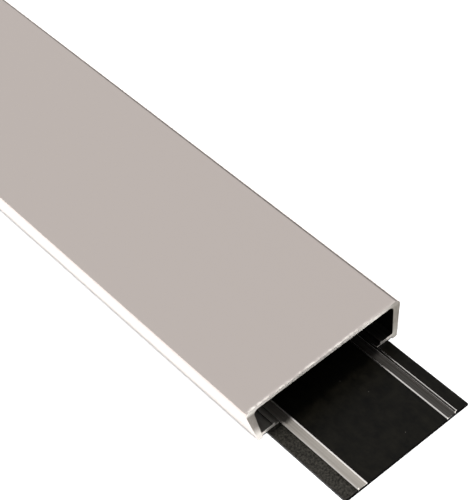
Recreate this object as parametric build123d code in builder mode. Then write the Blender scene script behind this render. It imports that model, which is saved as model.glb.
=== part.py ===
from build123d import *
import os
from math import cos, radians, sin, tan

# Floor cable protector: an extruded aluminium cover whose inturned lips run along a flat black
# base strip, held down by two low metal rails. X is across the strip, Y along it and Z up from the
# floor. The origin is on the floor under the middle of the strip, with the cover slid back.

# Lengths along the strip, in millimetres like every other size
length = 1000.0  # cut length of the cover, the base and the rails
shown_base = 45.0  # base left showing in front of the cover

# Cover section
cover_width = 80.0  # over the rounded top edges
cover_height = 20.0  # floor to the top face
top_thickness = 1.6
wall_thickness = 2.4  # at the foot
wall_lean = 11.0  # degrees that the side walls lean inwards towards the floor
wall_taper = 4.0  # degrees that their inner faces stand more upright, so that they thicken upwards
edge_radius = 2.5  # outside, along both top edges
inner_radius = 2.2  # inside, between the top and the walls
foot_gap = 0.3  # air between the floor and the feet of the walls
foot_radius = 0.4
lip_thickness = 1.5
lip_root_radius = 0.5
lip_bead_height = 0.5  # raised bead along the end of the lip
lip_bead_width = 1.0
lip_bead_radius = 0.3
tongue_thickness = 0.6  # thinned tip of the lip that the rail's bead holds down
tongue_reach = 2.4
tongue_radius = 0.15

# Base strip section
side_gap = 2.3  # base edge to the inside of the wall, at the foot
base_thickness = 1.5
base_edge_radius = 0.4
flange_width = 6.6  # flat margin between the base edge and the rail, where the lip rides

# Rail section
rail_width = 4.6
rail_inset = 1.0  # depth of the dovetail groove that holds the rail
dovetail = 0.25  # undercut on each side of the groove
outer_ridge = 0.5  # thickness of the ridge that carries the bead
inner_ridge = 0.7  # thickness of the low ridge on the cable side
inner_ridge_height = 0.35  # above the base
channel_depth = 0.2  # of the channel between the ridges, where it starts beside the inner one
channel_slope = 6.0  # degrees that the channel falls towards the outer ridge
channel_radius = 0.3  # at the foot of the outer ridge
bead_reach = 0.5  # how far the bead stands out over the tongue
bead_nose = 0.4  # height of the bead's blunt front
ridge_radius = 0.12

# Clearances
running_clearance = 0.15  # lip to base, lip to rail
rail_clearance = 0.05  # rail to the sides of its groove

# Heights and places that follow from the sizes above
lean = radians(wall_lean)
inner_lean = radians(wall_lean - wall_taper)
strip_length = length + shown_base
base_end = -strip_length / 2
cover_end = base_end + shown_base

ceiling = cover_height - top_thickness
lip_under = base_thickness + running_clearance
lip_top = lip_under + lip_thickness
tongue_top = lip_under + tongue_thickness
bead_under = tongue_top + running_clearance
groove_floor = base_thickness - rail_inset


def outer_wall(height):
    """X of the right-hand wall's outer face, which runs off the rounded top edge."""
    rise = height - (cover_height - edge_radius)
    return cover_width / 2 - edge_radius + (edge_radius + rise * sin(lean)) / cos(lean)


def inner_wall(height):
    """X of the right-hand wall's inner face."""
    return outer_wall(foot_gap) - wall_thickness + (height - foot_gap) * tan(inner_lean)


base_half = inner_wall(foot_gap) - side_gap
rail_outer = base_half - flange_width
rail_inner = rail_outer - rail_width
tongue_tip = rail_outer + running_clearance
lip_end = tongue_tip + tongue_reach


def both_sides(points):
    """A closed outline from the points of its right half and their mirror images."""
    return points + [(-x, z) for x, z in reversed(points)]


def corners(*points):
    """The section's corners at these points and at their mirror images."""
    touch = 1e-4
    return vertices().filter_by(
        lambda v: any(abs(abs(v.X) - abs(x)) < touch and abs(v.Y - z) < touch for x, z in points)
    )


# Cover: one extrusion, a flat top on two leaning walls with a lip turned in at each foot
top_corner = (outer_wall(cover_height), cover_height)
ceiling_corner = (inner_wall(ceiling), ceiling)
outer_foot = (outer_wall(foot_gap), foot_gap)
inner_foot = (inner_wall(foot_gap), foot_gap)
lip_root = (inner_wall(lip_top), lip_top)
bead_inner_edge = (lip_end, lip_top + lip_bead_height)
bead_outer_edge = (lip_end + lip_bead_width, lip_top + lip_bead_height)
tongue_upper = (tongue_tip, tongue_top)
tongue_lower = (tongue_tip, lip_under)

with BuildPart() as cover:
    with BuildSketch(Plane.XZ.offset(-cover_end - length)):
        with BuildLine():
            Polyline(
                *both_sides(
                    [
                        top_corner,
                        outer_foot,
                        inner_foot,
                        (inner_wall(lip_under), lip_under),
                        tongue_lower,
                        tongue_upper,
                        (lip_end, tongue_top),
                        bead_inner_edge,
                        bead_outer_edge,
                        (lip_end + lip_bead_width, lip_top),
                        lip_root,
                        ceiling_corner,
                    ]
                ),
                close=True,
            )
        make_face()
        fillet(corners(top_corner), edge_radius)
        fillet(corners(ceiling_corner), inner_radius)
        fillet(corners(outer_foot, inner_foot), foot_radius)
        fillet(corners(lip_root), lip_root_radius)
        fillet(corners(bead_inner_edge, bead_outer_edge), lip_bead_radius)
        fillet(corners(tongue_upper, tongue_lower), tongue_radius)
    extrude(amount=length)

# Base strip: one flat extrusion with a dovetail groove for each rail
groove_half = rail_width / 2 + rail_clearance
groove_middle = (rail_inner + rail_outer) / 2
base_edge = (base_half, base_thickness)

with BuildPart() as base_strip:
    with BuildSketch(Plane.XZ.offset(-base_end - length)):
        with BuildLine():
            Polyline(
                *both_sides(
                    [
                        (groove_middle - groove_half, base_thickness),
                        (groove_middle - groove_half - dovetail, groove_floor),
                        (groove_middle + groove_half + dovetail, groove_floor),
                        (groove_middle + groove_half, base_thickness),
                        base_edge,
                        (base_half, 0),
                    ]
                ),
                close=True,
            )
        make_face()
        fillet(corners(base_edge), base_edge_radius)
    extrude(amount=length)

# Right rail: a dovetail foot, a channel between a low ridge and a tall one, and a bead on the tall one
bead_front = rail_outer + bead_reach
channel_outer = rail_outer - outer_ridge
channel_inner = rail_inner + inner_ridge
ridge_top = bead_under + bead_nose
inner_ridge_top = base_thickness + inner_ridge_height
channel_high = inner_ridge_top - channel_depth
channel_low = channel_high - (channel_outer - channel_inner) * tan(radians(channel_slope))
outer_ridge_corners = [(bead_front, ridge_top), (channel_outer, ridge_top)]
inner_ridge_corners = [(channel_inner, inner_ridge_top), (rail_inner, inner_ridge_top)]

with BuildPart() as rail_right:
    with BuildSketch(Plane.XZ.offset(-base_end - length)):
        with BuildLine():
            Polyline(
                (rail_inner - dovetail, groove_floor),
                (rail_outer + dovetail, groove_floor),
                (rail_outer, base_thickness),
                (rail_outer, bead_under),
                (bead_front, bead_under),
                *outer_ridge_corners,
                (channel_outer, channel_low),
                (channel_inner, channel_high),
                *inner_ridge_corners,
                (rail_inner, base_thickness),
                close=True,
            )
        make_face()
        fillet(corners(*outer_ridge_corners, *inner_ridge_corners), ridge_radius)
        fillet(corners((channel_outer, channel_low)), channel_radius)
    extrude(amount=length)

# Left rail: the same extrusion turned to face the other lip
with BuildPart() as rail_left:
    mirror(rail_right.part, about=Plane.YZ)

cover.part.label = "cover"
base_strip.part.label = "base_strip"
rail_left.part.label = "rail_left"
rail_right.part.label = "rail_right"

os.makedirs("parts", exist_ok=True)
for piece in (cover.part, base_strip.part, rail_left.part, rail_right.part):
    export_step(piece, f"parts/{piece.label}.step")
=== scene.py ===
from math import cos, radians, sin, tan

import bmesh
import bpy
from mathutils import Matrix, Vector


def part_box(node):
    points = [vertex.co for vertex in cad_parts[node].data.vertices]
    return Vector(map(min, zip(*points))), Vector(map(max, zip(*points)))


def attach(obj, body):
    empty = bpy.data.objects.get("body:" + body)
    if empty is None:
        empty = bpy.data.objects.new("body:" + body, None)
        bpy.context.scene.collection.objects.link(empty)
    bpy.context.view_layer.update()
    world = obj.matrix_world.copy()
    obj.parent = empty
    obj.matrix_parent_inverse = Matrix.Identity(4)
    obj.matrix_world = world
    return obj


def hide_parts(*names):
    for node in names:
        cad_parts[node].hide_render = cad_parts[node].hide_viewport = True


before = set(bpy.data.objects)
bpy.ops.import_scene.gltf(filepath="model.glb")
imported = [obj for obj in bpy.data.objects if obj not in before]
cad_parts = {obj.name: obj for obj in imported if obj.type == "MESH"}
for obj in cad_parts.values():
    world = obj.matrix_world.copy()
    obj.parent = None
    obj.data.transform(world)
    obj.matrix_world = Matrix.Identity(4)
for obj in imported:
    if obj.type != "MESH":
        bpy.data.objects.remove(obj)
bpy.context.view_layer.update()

# Base strip: one flat extrusion of matt black plastic, sawn to length and glued to the floor.
# A dovetail groove along each side of its top holds a metal rail.
mm = 0.001
base_low, base_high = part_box("base_strip")
base_half = base_high.x
base_top = base_high.z
half_length = (base_high.y - base_low.y) / 2
base_edge_radius = 0.4 * mm
base_broken_edge = 0.06 * mm
flange_width = 6.6 * mm  # flat margin outside the rail, where the cover's lip rides
rail_width = 4.6 * mm
rail_inset = 1.0 * mm
dovetail = 0.25 * mm  # undercut on each side of the groove
rail_clearance = 0.05 * mm
rail_outer = base_half - flange_width
rail_inner = rail_outer - rail_width
groove_floor = base_top - rail_inset
groove_sides = (rail_inner - rail_clearance, rail_outer + rail_clearance)
same_place = 0.002 * mm  # two places nearer than this are one


def block(name, low, high):
    """A cube stretched over the box from low to high, left open in edit mode."""
    bpy.ops.object.select_all(action="DESELECT")
    bpy.ops.mesh.primitive_cube_add(size=1)
    piece = bpy.context.object
    piece.name = piece.data.name = name
    piece.location = (low + high) / 2
    piece.scale = high - low
    bpy.ops.object.transform_apply()
    bpy.ops.object.mode_set(mode="EDIT")
    return piece


def pick(kind, wanted):
    """Selects just the faces or edges of the open mesh for which wanted(middle, item) is true."""
    bpy.ops.mesh.select_mode(type=kind)
    bpy.ops.mesh.select_all(action="DESELECT")
    mesh = bmesh.from_edit_mesh(bpy.context.object.data)
    for item in mesh.faces if kind == "FACE" else mesh.edges:
        middle = sum((v.co for v in item.verts), Vector()) / len(item.verts)
        if wanted(middle, item):
            item.select_set(True)
    bmesh.update_edit_mesh(bpy.context.object.data)


def at(place):
    """The narrow range round this place across or up the section."""
    return place - same_place, place + same_place


def pick_face(x_range, z_range, normal):
    """Selects the lengthwise face that looks along normal with its middle in this part of the section."""
    pick(
        "FACE",
        lambda middle, face: x_range[0] < middle.x < x_range[1]
        and z_range[0] < middle.z < z_range[1]
        and face.normal.dot(Vector(normal)) > 0.9,
    )


def pick_edges(*places):
    """Selects the edges that run the whole length at these places (x, z) of the section."""
    pick(
        "EDGE",
        lambda middle, edge: abs((edge.verts[0].co - edge.verts[1].co).y) > half_length
        and any(abs(middle.x - x) + abs(middle.z - z) < same_place for x, z in places),
    )


def pull(x=0.0, z=0.0):
    """Extrudes what is selected by this much across and up."""
    bpy.ops.mesh.extrude_region_move(TRANSFORM_OT_translate={"value": (x, 0, z)})


def shift_edge(place, x=0.0, z=0.0):
    """Moves the lengthwise edge at this place of the section."""
    pick_edges(place)
    bpy.ops.transform.translate(value=(x, 0, z))


def round_edges(radius, segments, *places):
    """Rounds lengthwise edges to a true radius, whatever the angle between their faces."""
    pick_edges(*places)
    mesh = bmesh.from_edit_mesh(bpy.context.object.data)
    turn = next(edge for edge in mesh.edges if edge.select).calc_face_angle()
    reach = radius * tan(turn / 2)
    bpy.ops.mesh.bevel(offset=reach, segments=segments, profile=0.5, clamp_overlap=False)


def cut(point, normal):
    """Cuts new edges all round the open mesh where this plane meets it."""
    bpy.ops.mesh.select_all(action="SELECT")
    bpy.ops.mesh.bisect(plane_co=point, plane_no=normal)


def apply_modifier(piece, kind, **settings):
    """Adds a modifier with these settings and applies it."""
    bpy.ops.object.mode_set(mode="OBJECT")
    modifier = piece.modifiers.new(kind.lower(), kind)
    for name, value in settings.items():
        setattr(modifier, name, value)
    bpy.ops.object.modifier_apply(modifier=modifier.name)


def mirror_half(piece):
    """Opens the half section at its middle and mirrors it into a whole one."""
    pick("FACE", lambda middle, face: abs(middle.x) < same_place and abs(face.normal.x) > 0.9)
    bpy.ops.mesh.delete(type="FACE")
    apply_modifier(piece, "MIRROR", use_axis=(True, False, False), merge_threshold=same_place)


def break_edges(piece, width):
    """Takes the sharpness off every edge that is still sharp, the sawn ends' edges among them."""
    apply_modifier(piece, "BEVEL", width=width, segments=2, limit_method="ANGLE", angle_limit=radians(35))
    bpy.ops.object.shade_smooth_by_angle(angle=radians(16))
    apply_modifier(piece, "WEIGHTED_NORMAL", weight=100, keep_sharp=True)


black_base = block("black_base", Vector((0, base_low.y, base_low.z)), base_high)
for side in groove_sides:
    cut((side, 0, 0), (1, 0, 0))
pick_face(groove_sides, at(base_top), (0, 0, 1))
pull(z=-rail_inset)
shift_edge((groove_sides[0], groove_floor), x=-dovetail)
shift_edge((groove_sides[1], groove_floor), x=dovetail)
round_edges(base_edge_radius, 8, (base_half, base_top))
mirror_half(black_base)
break_edges(black_base, base_broken_edge)


def new_material(name):
    """A material with its tree and its shader."""
    material = bpy.data.materials.new(name)
    material.use_nodes = True
    return material, material.node_tree, material.node_tree.nodes["Principled BSDF"]


def add_node(tree, kind, **settings):
    """A node of this kind. Each setting is a property, a socket's value or a socket to link from."""
    made = tree.nodes.new("ShaderNode" + kind)
    for name, value in settings.items():
        if hasattr(made, name):
            setattr(made, name, value)
            continue
        socket = next(s for s in made.inputs if name in (s.identifier, s.name.replace(" ", "_")))
        if isinstance(value, bpy.types.NodeSocket):
            tree.links.new(value, socket)
        else:
            socket.default_value = value
    return made


def placed(tree, stretch=(1, 1, 1)):
    """The piece's own coordinates, scaled along X, Y and Z."""
    place = add_node(tree, "TexCoord")
    return add_node(tree, "Mapping", Vector=place.outputs["Object"], Scale=stretch).outputs["Vector"]


def between(tree, value, low, high, at_low, at_high):
    """A value stretched from the range low to high onto at_low to at_high, and held at its ends."""
    stretch = {"From_Min": low, "From_Max": high, "To_Min": at_low, "To_Max": at_high}
    return add_node(tree, "MapRange", Value=value, **stretch).outputs["Result"]


def calculated(tree, operation, first, second=0.0):
    """The result of this operation on two values, either of which may be a number or a socket."""
    node = add_node(tree, "Math", operation=operation)
    for socket, value in zip(node.inputs, (first, second)):
        if isinstance(value, bpy.types.NodeSocket):
            tree.links.new(value, socket)
        else:
            socket.default_value = value
    return node.outputs["Value"]


def toned(tree, value, *stops):
    """A colour that runs through these stops, each of them a value and the colour there."""
    ramp = add_node(tree, "ValToRGB", Fac=value)
    first, last = ramp.color_ramp.elements
    first.position, first.color = stops[0]
    last.position, last.color = stops[-1]
    for place, colour in stops[1:-1]:
        ramp.color_ramp.elements.new(place).color = colour
    return ramp.outputs["Color"]


dust = (0.16, 0.15, 0.13, 1)


def mottled(name, dark, light, spots, gloss, smooth, rough):
    """A matt surface, mottled from dark to light in so many spots a metre along X, Y and Z, with a fine
    grain and a few specks of dust."""
    material, tree, shader = new_material(name)
    mottle = add_node(tree, "TexNoise", Vector=placed(tree, spots), Scale=1.0, Detail=5.0, Roughness=0.7)
    dots = add_node(tree, "TexVoronoi", Vector=placed(tree), Scale=170.0)
    speck = between(tree, dots.outputs["Distance"], 0.025, 0.04, 1.0, 0.0)
    dusted = calculated(tree, "MAXIMUM", mottle.outputs["Fac"], speck)
    tone = toned(tree, dusted, (0.36, dark), (0.7, light), (0.85, light), (1.0, dust))
    tree.links.new(tone, shader.inputs["Base Color"])
    shader.inputs["Specular IOR Level"].default_value = gloss
    grain = add_node(tree, "TexNoise", Vector=placed(tree, (1, 0.12, 1)), Scale=2600.0, Detail=3.0)
    tree.links.new(between(tree, grain.outputs["Fac"], 0.3, 0.7, smooth, rough), shader.inputs["Roughness"])
    relief = add_node(tree, "Bump", Strength=0.25, Distance=0.05 * mm, Height=grain.outputs["Fac"])
    tree.links.new(relief.outputs["Normal"], shader.inputs["Normal"])
    return material


def is_left_flange(middle, face):
    """True for the left flange's top and its rounded edge, which the lip has scuffed and which is painted
    lighter, as painted light from the left.
    """
    return middle.x < -rail_outer and face.normal.z > 0.2


def is_sawn(middle, face):
    """True for the sawn ends and their broken edges."""
    return abs(face.normal.y) > 0.2


def give_finishes(piece, all_over, *others):
    """Gives the piece one material all over, and each other one where its wanted(middle, face) is true."""
    for material in (all_over, *(material for material, _ in others)):
        piece.data.materials.append(material)
    bpy.ops.object.mode_set(mode="EDIT")
    for slot, (_, wanted) in enumerate(others, start=1):
        pick("FACE", wanted)
        piece.active_material_index = slot
        bpy.ops.object.material_slot_assign()
    bpy.ops.object.mode_set(mode="OBJECT")


clean = mottled(
    "matt_black_plastic", dark=(0.0008, 0.0007, 0.0004, 1), light=(0.0064, 0.0057, 0.0038, 1),
    spots=(330, 200, 330), gloss=0.14, smooth=0.34, rough=0.5,
)
# The left flange is scuffed, and is also painted lighter than the right one as painted light falling from
# the left.
scuffed_and_lit = mottled(
    "scuffed_black_plastic", dark=(0.002, 0.0018, 0.0014, 1), light=(0.053, 0.049, 0.041, 1),
    spots=(1200, 1200, 1200), gloss=0.17, smooth=0.36, rough=0.55,
)
sawn_plastic = mottled(
    "sawn_black_plastic", dark=(0.0008, 0.0007, 0.0005, 1), light=(0.004, 0.0036, 0.0028, 1),
    spots=(2500, 2500, 500), gloss=0.02, smooth=0.6, rough=0.8,
)
give_finishes(black_base, clean, (scuffed_and_lit, is_left_flange), (sawn_plastic, is_sawn))
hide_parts("base_strip")
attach(black_base, "base")

# Rails: two bare aluminium extrusions slid into the grooves, mirror images of each other. Each is
# a channel between a low ridge and a tall outer one, whose bead holds the cover's lip down. The
# left rail is painted as a lit copy and the right one as a shaded copy of the same finish.
rail_low, rail_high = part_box("rail_right")
outer_ridge = 0.5 * mm
inner_ridge = 0.7 * mm
inner_ridge_height = 0.35 * mm  # above the base
channel_depth = 0.2 * mm
channel_slope = radians(6.0)  # the channel falls towards the outer ridge
channel_radius = 0.3 * mm  # at the foot of the outer ridge
bead_gap = 0.9 * mm  # room for the lip's tongue between the base and the bead
ridge_radius = 0.12 * mm
rail_broken_edge = 0.04 * mm
highlight_width = 0.4 * mm  # strip along the bead's top, painted bright as a highlight
wall_highlight_width = 0.34 * mm  # bright line painted along the tall ridge's wall as a highlight
inner_ridge_top = base_top + inner_ridge_height
channel_high = inner_ridge_top - channel_depth
bead_under = base_top + bead_gap
bead_front = rail_high.x
ridge_top = rail_high.z
channel_sides = (rail_inner + inner_ridge, rail_outer - outer_ridge)
channel_low = channel_high - (channel_sides[1] - channel_sides[0]) * tan(channel_slope)
highlight_from = bead_front - highlight_width
wall_highlight_band = (bead_under - wall_highlight_width, bead_under)


def merge_flat():
    """Takes out the edges that cuts and pulls have left inside flat faces."""
    bpy.ops.mesh.select_all(action="SELECT")
    bpy.ops.mesh.dissolve_limited(angle_limit=radians(0.2))


rail_right = block(
    "clip_rail_right",
    Vector((rail_inner, rail_low.y, groove_floor)),
    Vector((rail_outer, rail_high.y, base_top)),
)
for side in channel_sides:
    cut((side, 0, 0), (1, 0, 0))
shift_edge((rail_inner, groove_floor), x=-dovetail)
shift_edge((rail_outer, groove_floor), x=dovetail)
pick_face((rail_inner, channel_sides[0]), at(base_top), (0, 0, 1))
pull(z=inner_ridge_top - base_top)
pick_face((channel_sides[1], rail_outer), at(base_top), (0, 0, 1))
pull(z=bead_under - base_top)
pick_face((channel_sides[1], rail_outer), at(bead_under), (0, 0, 1))
pull(z=ridge_top - bead_under)
pick_face(at(rail_outer), (bead_under, ridge_top), (1, 0, 0))
pull(x=bead_front - rail_outer)
shift_edge((channel_sides[0], base_top), z=channel_high - base_top)
shift_edge((channel_sides[1], base_top), z=channel_low - base_top)
merge_flat()
for corner in (
    (rail_inner, inner_ridge_top),
    (channel_sides[0], inner_ridge_top),
    (channel_sides[1], ridge_top),
    (bead_front, ridge_top),
):
    round_edges(ridge_radius, 8, corner)
round_edges(channel_radius, 8, (channel_sides[1], channel_low))
cut((highlight_from, 0, 0), (1, 0, 0))
for line_edge in wall_highlight_band:
    cut((0, 0, line_edge), (0, 0, 1))
bpy.ops.object.mode_set(mode="OBJECT")

bpy.ops.object.duplicate()
rail_left = bpy.context.object
rail_left.name = rail_left.data.name = "clip_rail_left"
rail_left.scale.x = -1
bpy.ops.object.transform_apply()
bpy.ops.object.mode_set(mode="EDIT")
bpy.ops.mesh.select_all(action="SELECT")
bpy.ops.mesh.normals_make_consistent(inside=False)
bpy.ops.object.mode_set(mode="OBJECT")


def drawn_metal(name, dark, light, smooth, rough, metallic=1.0):
    """Aluminium with fine lines along the strip, from the die, in the given tones; the rails use it for
    painted light, painted shade and painted highlights. Less metallic where the caller asks.
    """
    material, tree, shader = new_material(name)
    shader.inputs["Metallic"].default_value = metallic
    lines = add_node(tree, "TexNoise", Vector=placed(tree, (1, 0.004, 1)), Scale=2400.0, Detail=4.0)
    tone = toned(tree, lines.outputs["Fac"], (0.3, dark), (0.7, light))
    tree.links.new(tone, shader.inputs["Base Color"])
    tree.links.new(between(tree, lines.outputs["Fac"], 0.3, 0.7, smooth, rough), shader.inputs["Roughness"])
    relief = add_node(tree, "Bump", Strength=0.2, Distance=0.02 * mm, Height=lines.outputs["Fac"])
    tree.links.new(relief.outputs["Normal"], shader.inputs["Normal"])
    return material


def is_ridge_top(middle, face):
    """True for the tall outer ridge above its painted highlight line, with its bead."""
    return middle.z > wall_highlight_band[1] + same_place


def is_bead_highlight(middle, face):
    """True for the bead's outer top and its rounded edge, painted bright as a highlight."""
    return middle.z > ridge_top - ridge_radius and face.normal.z > 0.1 and abs(middle.x) > highlight_from


def is_inner_top(middle, face):
    """True for the top of the low inner ridge, painted bright as a highlight."""
    return face.normal.z > 0.5 and ridge_top - ridge_radius > middle.z > inner_ridge_top - ridge_radius


def is_ridge_wall(middle, face):
    """True for the tall ridge's wall and its rounded foot beside the channel, painted dark as shade in the
    crease.
    """
    beside = channel_sides[1] - channel_radius < abs(middle.x) < channel_sides[1] + same_place
    return beside and abs(face.normal.x) > 0.2 and middle.z < wall_highlight_band[1]


def is_wall_highlight(middle, face):
    """True for the line painted bright as a highlight along the tall ridge's wall."""
    return is_ridge_wall(middle, face) and middle.z > wall_highlight_band[0]


lit_rail = drawn_metal(
    "light_drawn_aluminium", dark=(0.3, 0.277, 0.248, 1), light=(0.38, 0.35, 0.314, 1),
    smooth=0.4, rough=0.5, metallic=0.2,
)
dim_painted_highlight = drawn_metal(
    "light_rubbed_aluminium", dark=(0.5, 0.475, 0.45, 1), light=(0.58, 0.55, 0.525, 1),
    smooth=0.3, rough=0.4, metallic=0.5,
)
inner_ridge_highlight = drawn_metal(
    "light_ridge_aluminium", dark=(0.64, 0.61, 0.58, 1), light=(0.76, 0.73, 0.7, 1),
    smooth=0.3, rough=0.4, metallic=0.2,
)
shaded_rail = drawn_metal(
    "dark_drawn_aluminium", dark=(0.025, 0.023, 0.02, 1), light=(0.07, 0.064, 0.058, 1),
    smooth=0.4, rough=0.5, metallic=0.3,
)
shaded_ridge_top = drawn_metal(
    "dark_ridge_aluminium", dark=(0.05, 0.046, 0.043, 1), light=(0.075, 0.07, 0.065, 1),
    smooth=0.25, rough=0.35,
)
painted_highlight = drawn_metal(
    "rubbed_aluminium", dark=(0.8, 0.77, 0.74, 1), light=(0.9, 0.87, 0.84, 1), smooth=0.2, rough=0.3
)
crease_shade = drawn_metal(
    "unrubbed_aluminium", dark=(0.07, 0.064, 0.058, 1), light=(0.11, 0.1, 0.092, 1),
    smooth=0.5, rough=0.6, metallic=0.2,
)
wall_highlight = drawn_metal(
    "die_bright_aluminium", dark=(0.82, 0.79, 0.76, 1), light=(0.95, 0.92, 0.88, 1),
    smooth=0.3, rough=0.4, metallic=0.2,
)

# The sawn ends are painted with highlights at the foot and at the top, grey between, and with painted shade
# by the cover's right wall
highlit_cut = (0.9, 0.86, 0.81, 1)
grey_cut = (0.36, 0.33, 0.3, 1)
shaded_cut = (0.25, 0.23, 0.2, 1)
cut_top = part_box("cover")[1].z
shade_from = 26.0 * mm
shade_to = 37.0 * mm
colour_result = 2  # the mix node's results are a number, a vector and a colour
sawn, tree, shader = new_material("sawn_aluminium")
shader.inputs["Metallic"].default_value = 1.0
spot = add_node(tree, "SeparateXYZ", Vector=placed(tree)).outputs
height = between(tree, spot["Z"], 0.0, cut_top, 0.0, 1.0)
tone = toned(tree, height, (0.17, highlit_cut), (0.45, grey_cut), (0.85, grey_cut), (0.92, highlit_cut))
painted_right_shade = between(tree, spot["X"], shade_from, shade_to, 0.0, 0.85)
cut_tone = add_node(tree, "Mix", data_type="RGBA", Factor_Float=painted_right_shade, A_Color=tone, B_Color=shaded_cut)
tree.links.new(cut_tone.outputs[colour_result], shader.inputs["Base Color"])
teeth = add_node(tree, "TexNoise", Vector=placed(tree, (1, 1, 0.15)), Scale=3000.0, Detail=3.0)
tree.links.new(between(tree, teeth.outputs["Fac"], 0.3, 0.7, 0.5, 0.75), shader.inputs["Roughness"])
relief = add_node(tree, "Bump", Strength=0.4, Distance=0.03 * mm, Height=teeth.outputs["Fac"])
tree.links.new(relief.outputs["Normal"], shader.inputs["Normal"])

# Left rail in lit copies of the finishes, right rail in shaded copies, with painted highlights and painted
# shade on the ridges.
for rail, node, finish, top_finish, edge_finish, line_finish in (
    (rail_left, "rail_left", lit_rail, lit_rail, dim_painted_highlight, inner_ridge_highlight),
    (rail_right, "rail_right", shaded_rail, shaded_ridge_top, painted_highlight, painted_highlight),
):
    bpy.ops.object.select_all(action="DESELECT")
    rail.select_set(True)
    bpy.context.view_layer.objects.active = rail
    break_edges(rail, rail_broken_edge)
    give_finishes(
        rail,
        finish,
        (top_finish, is_ridge_top),
        (edge_finish, is_bead_highlight),
        (line_finish, is_inner_top),
        (crease_shade, is_ridge_wall),
        (wall_highlight, is_wall_highlight),
        (sawn, is_sawn),
    )
    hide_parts(node)
    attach(rail, "base")

# Cover: one satin anodised aluminium extrusion, sawn to length. Two walls lean in towards the floor
# under a flat top, and the lip at the foot of each wall ends in a thin tongue under the rail's bead.
cover_low, cover_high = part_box("cover")
cover_half = cover_high.x
cover_top = cover_high.z
foot = cover_low.z
top_thickness = 1.6 * mm
wall_thickness = 2.4 * mm  # at the foot
wall_lean = radians(11.0)
inner_lean = radians(7.0)
edge_radius = 2.5 * mm
inner_radius = 2.2 * mm
foot_radius = 0.4 * mm
lip_thickness = 1.5 * mm
lip_root_radius = 0.5 * mm
lip_bead_height = 0.5 * mm
lip_bead_width = 1.0 * mm
lip_bead_radius = 0.3 * mm
tongue_thickness = 0.6 * mm
tongue_reach = 2.4 * mm
tongue_radius = 0.15 * mm
running_clearance = 0.15 * mm
cover_broken_edge = 0.06 * mm
ceiling = cover_top - top_thickness
lip_under = base_top + running_clearance
lip_top = lip_under + lip_thickness
tongue_top = lip_under + tongue_thickness
tongue_tip = rail_outer + running_clearance
lip_end = tongue_tip + tongue_reach
bead_outer = lip_end + lip_bead_width
bead_crest = lip_top + lip_bead_height


def outer_wall(height):
    """X of the wall's outer face, which runs off the rounded top edge."""
    rise = height - (cover_top - edge_radius)
    return cover_half - edge_radius + (edge_radius + rise * sin(wall_lean)) / cos(wall_lean)


def inner_wall(height):
    """X of the wall's inner face."""
    return outer_wall(foot) - wall_thickness + (height - foot) * tan(inner_lean)


duct_cover = block(
    "duct_cover",
    Vector((0, cover_low.y, ceiling)),
    Vector((inner_wall(ceiling), cover_high.y, cover_top)),
)
pick_face((inner_wall(ceiling) - same_place, cover_half), (ceiling, cover_top), (1, 0, 0))
pull(x=outer_wall(cover_top) - inner_wall(ceiling))
shift_edge((outer_wall(cover_top), ceiling), x=outer_wall(ceiling) - outer_wall(cover_top))
level = ceiling
for lower in (lip_top, tongue_top, lip_under, foot):
    pick_face((inner_wall(level), outer_wall(level)), at(level), (0, 0, -1))
    pull(z=lower - level)
    shift_edge((inner_wall(level), lower), x=inner_wall(lower) - inner_wall(level))
    shift_edge((outer_wall(level), lower), x=outer_wall(lower) - outer_wall(level))
    level = lower
lip_reach = bead_outer - inner_wall(lip_top)
beside_lip = (inner_wall(lip_under) - same_place, inner_wall(lip_top) + same_place)
pick_face(beside_lip, (lip_under, lip_top), (-1, 0, 0))
pull(x=lip_reach)
for level in (lip_top, tongue_top, lip_under):
    stood = inner_wall(level) + lip_reach
    shift_edge((stood, level), x=bead_outer - stood)
pick_face(at(bead_outer), (lip_under, lip_top), (-1, 0, 0))
pull(x=-lip_bead_width)
pick_face(at(lip_end), (lip_under, tongue_top), (-1, 0, 0))
pull(x=-tongue_reach)
pick_face((lip_end, bead_outer), at(lip_top), (0, 0, 1))
pull(z=lip_bead_height)
merge_flat()
round_edges(edge_radius, 12, (outer_wall(cover_top), cover_top))
round_edges(inner_radius, 10, (inner_wall(ceiling), ceiling))
round_edges(foot_radius, 8, (outer_wall(foot), foot))
round_edges(foot_radius, 8, (inner_wall(foot), foot))
round_edges(lip_root_radius, 8, (inner_wall(lip_top), lip_top))
round_edges(lip_bead_radius, 8, (lip_end, bead_crest), (bead_outer, bead_crest))
round_edges(tongue_radius, 8, (tongue_tip, tongue_top), (tongue_tip, lip_under))
mirror_half(duct_cover)
break_edges(duct_cover, cover_broken_edge)

# The satin skin has fine lines from the die. Close to the cuts the saw has torn it in spots, down to
# bare matt metal that is painted near white as a highlight along the cut edges, less so towards the right
# wall.
skin = (0.72, 0.645, 0.605, 1)
highlit_bare_metal = (1, 0.95, 0.89, 1)
torn_highlit_from = 1.4 * mm  # distances from the cut
torn_highlit_most = 0.3 * mm
fewer_from = 15.0 * mm  # distances right of the middle
fewest_from = 38.0 * mm
cover_middle = (cover_low.y + cover_high.y) / 2
cover_reach = cover_high.y - cover_middle
satin, tree, shader = new_material("satin_anodised_aluminium")
spot = add_node(tree, "SeparateXYZ", Vector=placed(tree)).outputs
off_middle = calculated(tree, "ABSOLUTE", calculated(tree, "SUBTRACT", spot["Y"], cover_middle))
near_cut = between(tree, off_middle, cover_reach - torn_highlit_from, cover_reach - torn_highlit_most, 0.0, 1.0)
less_right = between(tree, spot["X"], fewer_from, fewest_from, 1.0, 0.25)
nicks = add_node(tree, "TexNoise", Vector=placed(tree), Scale=330.0, Detail=5.0, Roughness=0.75)
nicked = between(tree, nicks.outputs["Fac"], 0.44, 0.66, 0.1, 1.0)
torn_and_highlit = calculated(tree, "MULTIPLY", calculated(tree, "MULTIPLY", near_cut, nicked), less_right)
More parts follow.
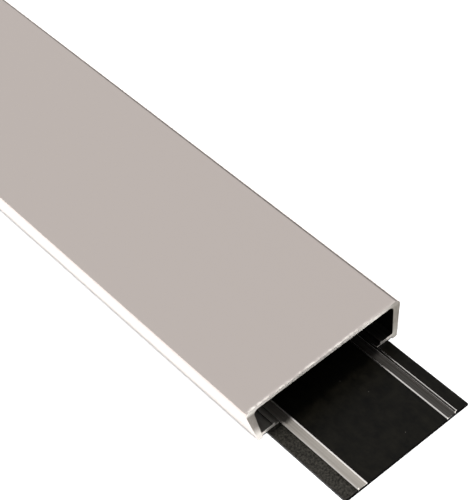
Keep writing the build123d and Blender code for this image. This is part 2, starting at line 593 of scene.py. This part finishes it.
tree.links.new(toned(tree, torn_and_highlit, (0.0, skin), (1.0, highlit_bare_metal)), shader.inputs["Base Color"])
tree.links.new(between(tree, torn_and_highlit, 0.0, 1.0, 1.0, 0.3), shader.inputs["Metallic"])
drawn = add_node(tree, "TexNoise", Vector=placed(tree, (1, 0.002, 1)), Scale=1500.0, Detail=4.0)
tree.links.new(between(tree, drawn.outputs["Fac"], 0.3, 0.7, 0.2, 0.27), shader.inputs["Roughness"])

# The duct's inside is painted nearly black as painted shade.
shaded_inner_skin = drawn_metal(
    "dull_inner_skin", dark=(0.018, 0.017, 0.015, 1), light=(0.03, 0.028, 0.025, 1), smooth=0.4, rough=0.5
)
# The lips' tops are matt; the left one is painted light and the right one painted in shade.
dark_oxide = mottled(
    "dark_oxide", dark=(0.06, 0.055, 0.05, 1), light=(0.12, 0.11, 0.1, 1),
    spots=(900, 40, 900), gloss=0.0, smooth=0.5, rough=0.7,
)
light_oxide = mottled(
    "light_oxide", dark=(0.66, 0.62, 0.57, 1), light=(0.8, 0.76, 0.7, 1),
    spots=(900, 40, 900), gloss=0.0, smooth=0.5, rough=0.7,
)


def is_inside(middle, face):
    """True for the faces that look into the duct or down at the base."""
    within = abs(middle.x) < inner_wall(middle.z) + same_place and middle.z < ceiling + same_place
    return abs(face.normal.y) < 0.2 and within


def is_lip_top(middle, face):
    """True for the upper faces of the lips."""
    return face.normal.z > 0.5 and middle.z < ceiling / 2


def is_left_lip_top(middle, face):
    """True for the upper faces of the left lip, which is painted lighter as painted light."""
    return is_lip_top(middle, face) and middle.x < 0


give_finishes(
    duct_cover,
    satin,
    (sawn, is_sawn),
    (shaded_inner_skin, is_inside),
    (dark_oxide, is_lip_top),
    (light_oxide, is_left_lip_top),
)
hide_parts("cover")
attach(duct_cover, "cover")

# Floor: a plain pale sweep that the strip lies on. A wash of light of its own, from above and a little
# from the front and the left, burns it out to white wherever the strip doesn't shade it.
floor_size = 6.0
floor_gap = 0.02 * mm  # keeps the floor clear of the base's underside
wash_left = radians(11.2)
wash_front = radians(22)
wash_softness = radians(10)
wash_strength = 12.5
bpy.ops.object.select_all(action="DESELECT")
bpy.ops.mesh.primitive_plane_add(size=floor_size, location=(0, 0, -floor_gap))
floor = bpy.context.object
floor.name = "floor"
pale, _, shader = new_material("white_floor")
shader.inputs["Base Color"].default_value = (0.3, 0.3, 0.3, 1)
shader.inputs["Roughness"].default_value = 0.9
shader.inputs["Specular IOR Level"].default_value = 0.0
floor.data.materials.append(pale)
wash = bpy.data.objects.new("floor_wash", bpy.data.lights.new("floor_wash", "SUN"))
wash.data.energy = wash_strength
wash.data.angle = wash_softness
wash.rotation_euler = Vector((-tan(wash_left), -tan(wash_front), 1)).to_track_quat("Z", "Y").to_euler()
bpy.context.collection.objects.link(wash)
washed = bpy.data.collections.new("washed")
washed.objects.link(floor)
wash.light_linking.receiver_collection = washed

# Studio light: a light grey room with a darker flag at the right behind the strip, a key light low at
# the left behind it, a small light overhead and a weak fill at the right. The backdrop shows white, and
# the room's front half sheds almost no light on matt surfaces, so the mouth of the duct stays dark.
flag_heading = radians(54)
flag_height = radians(16)
flag_core = radians(14)  # the flag fades out from here
flag_edge = radians(20)
flag_tone = 0.21
room_tone = 0.71
front_share = 0.03  # of the room's light in front of the strip that matt surfaces get
back_from = 0.35  # share of a direction's length that points backwards, from which they get all of it
world = bpy.data.worlds.new("studio")
bpy.context.scene.world = world
world.use_nodes = True
tree = world.node_tree
look = add_node(tree, "TexCoord").outputs["Generated"]
toward = add_node(tree, "VectorMath", operation="DOT_PRODUCT")
tree.links.new(look, toward.inputs[0])
toward.inputs[1].default_value = (
    sin(flag_heading) * cos(flag_height),
    cos(flag_heading) * cos(flag_height),
    sin(flag_height),
)
room = between(tree, toward.outputs["Value"], cos(flag_core), cos(flag_edge), flag_tone, room_tone)
backwards = add_node(tree, "SeparateXYZ", Vector=look).outputs["Y"]
for_matt = between(tree, backwards, 0.0, back_from, front_share, 1.0)
ray = add_node(tree, "LightPath")
not_matt = calculated(tree, "SUBTRACT", 1.0, ray.outputs["Is Diffuse Ray"])
seen = calculated(tree, "MULTIPLY", room, calculated(tree, "MAXIMUM", for_matt, not_matt))
backdrop = calculated(tree, "MAXIMUM", seen, ray.outputs["Is Camera Ray"])
tree.links.new(backdrop, tree.nodes["Background"].inputs["Color"])


def soft_light(name, heading, height, distance, size, power):
    """A square light that looks at the near end from a compass heading and a height in degrees."""
    aim = Vector((0, cover_low.y, 0))
    out = Vector((sin(radians(heading)), cos(radians(heading)), tan(radians(height)))).normalized()
    lamp = bpy.data.lights.new(name, "AREA")
    lamp.size = size
    lamp.energy = power
    stand = bpy.data.objects.new(name, lamp)
    stand.location = aim + out * distance
    stand.rotation_euler = out.to_track_quat("Z", "Y").to_euler()
    stand.visible_glossy = False  # metal mirrors the room and not the lamps
    bpy.context.collection.objects.link(stand)


soft_light("key", heading=-45, height=22, distance=1.5, size=0.9, power=9)
soft_light("overhead", heading=-50, height=78, distance=2.0, size=0.3, power=38.5)
soft_light("fill", heading=110, height=25, distance=1.5, size=0.8, power=1.2)

# Camera: left of the near end and well above it, looking along the strip, rolled a little
focal_px = 1735.87  # focal length in pixels of the 472 by 500 frame
frame_px = (472, 500)
heading = radians(32.0)
tilt = radians(46.86)
roll = radians(-10.68)
aim_px = (324.43, 355.43)  # where the middle of the cover's near top edge shows
aim_depth = 669.89 * mm
ahead = Vector((sin(heading) * cos(tilt), cos(heading) * cos(tilt), -sin(tilt)))
level_right = Vector((cos(heading), -sin(heading), 0))
level_up = level_right.cross(ahead)
right = cos(roll) * level_right + sin(roll) * level_up
up = cos(roll) * level_up - sin(roll) * level_right
aim_point = Vector((0, cover_low.y, cover_top))
aside = (aim_px[0] - frame_px[0] / 2) / focal_px * aim_depth
above = (frame_px[1] / 2 - aim_px[1]) / focal_px * aim_depth
lens = bpy.data.cameras.new("camera")
lens.sensor_width = 36.0
lens.lens = focal_px / max(frame_px) * lens.sensor_width
lens.clip_start = 0.01
camera = bpy.data.objects.new("camera", lens)
stand = aim_point - aside * right - above * up - aim_depth * ahead
camera.matrix_world = Matrix.Translation(stand) @ Matrix((right, up, -ahead)).transposed().to_4x4()
bpy.context.collection.objects.link(camera)
bpy.context.scene.camera = camera
bpy.context.scene.view_settings.view_transform = "Standard"
